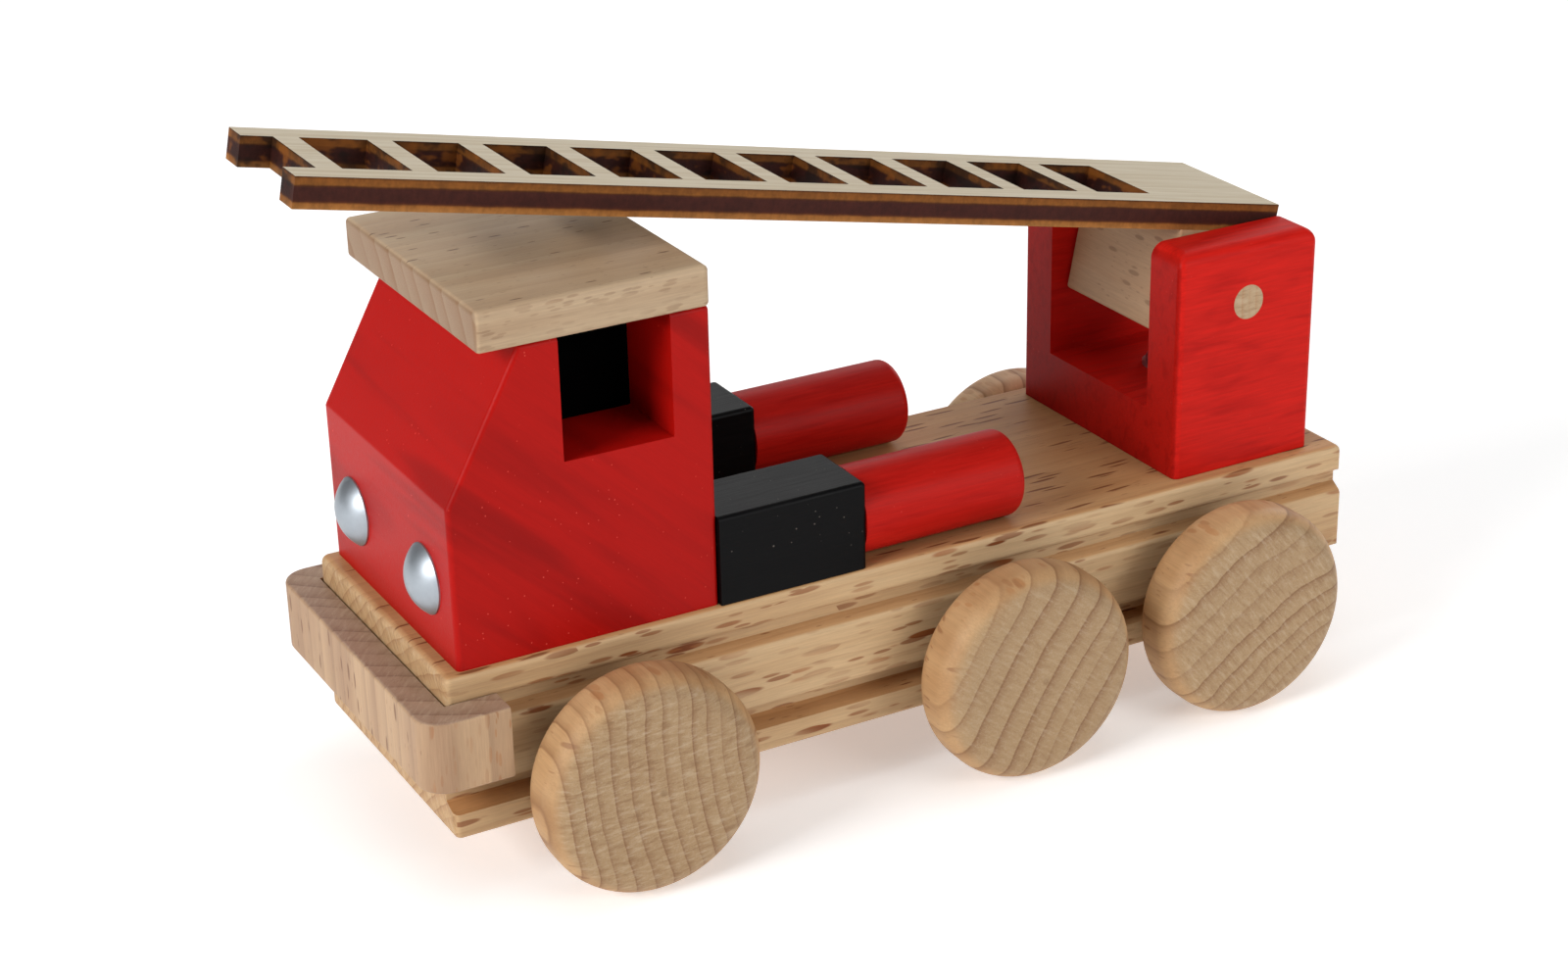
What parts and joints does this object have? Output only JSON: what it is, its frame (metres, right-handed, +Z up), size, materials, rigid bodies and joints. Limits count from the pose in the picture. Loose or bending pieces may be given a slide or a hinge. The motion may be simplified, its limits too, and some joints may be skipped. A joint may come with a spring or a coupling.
{
  "type": "toy fire engine",
  "caption": "Solid wood toy fire engine with a windowed cab, hose rolls, rolling wheels, and a ladder that tilts on a turntable bracket.",
  "frame": {"origin": "on the floor under the middle of the whole toy, ladder included", "axes": "+X forwards, towards the cab and the ladder's free end; +Y to the vehicle's left; +Z up from the floor"},
  "size_m": [0.1962, 0.0894, 0.1252],
  "materials": {
    "beech_natural": "sanded bare wood, waxed",
    "wood_red": "red stain, satin",
    "wood_black": "black stain, satin",
    "plywood": "laser-cut plywood, sanded face",
    "nail_metal": "satin plated",
    "screw_steel": "zinc plated"
  },
  "bodies": {
    "truck": {"chassis": "beech_natural", "front_bumper": "beech_natural", "cab": "wood_red", "window_core": "wood_black", "roof": "beech_natural", "headlight_left": "nail_metal", "headlight_right": "nail_metal", "equipment_block_left": "wood_black", "equipment_block_right": "wood_black", "hose_roll_left": "wood_red", "hose_roll_right": "wood_red", "turret_screw": "screw_steel", "turret_washer": "screw_steel"},
    "turret": {"turret_bracket": "wood_red", "pivot_pin": "beech_natural"},
    "ladder": {"ladder": "plywood", "pivot_block": "beech_natural"},
    "wheelset_front": {"axle_front": "beech_natural", "wheel_front_left": "beech_natural", "wheel_front_right": "beech_natural"},
    "wheelset_middle": {"axle_middle": "beech_natural", "wheel_middle_left": "beech_natural", "wheel_middle_right": "beech_natural"},
    "wheelset_rear": {"axle_rear": "beech_natural", "wheel_rear_left": "beech_natural", "wheel_rear_right": "beech_natural"}
  },
  "joints": [
    {"name": "turret_swivel", "type": "hinge", "parent": "truck", "child": "turret", "pos_m": [-0.07676, 0, 0.0531], "axis": [0, 0, 1], "continuous": true},
    {"name": "ladder_tilt", "type": "hinge", "parent": "turret", "child": "ladder", "pos_m": [-0.07676, 0, 0.0735], "axis": [0, -1, 0], "range_deg": [-1.9, 110]},
    {"name": "front_wheels_spin", "type": "hinge", "parent": "truck", "child": "wheelset_front", "pos_m": [0.0542, 0, 0.02], "axis": [0, 1, 0], "continuous": true},
    {"name": "middle_wheels_spin", "type": "hinge", "parent": "truck", "child": "wheelset_middle", "pos_m": [-0.02075, 0, 0.02], "axis": [0, 1, 0], "continuous": true},
    {"name": "rear_wheels_spin", "type": "hinge", "parent": "truck", "child": "wheelset_rear", "pos_m": [-0.0677, 0, 0.02], "axis": [0, 1, 0], "continuous": true}
  ]
}
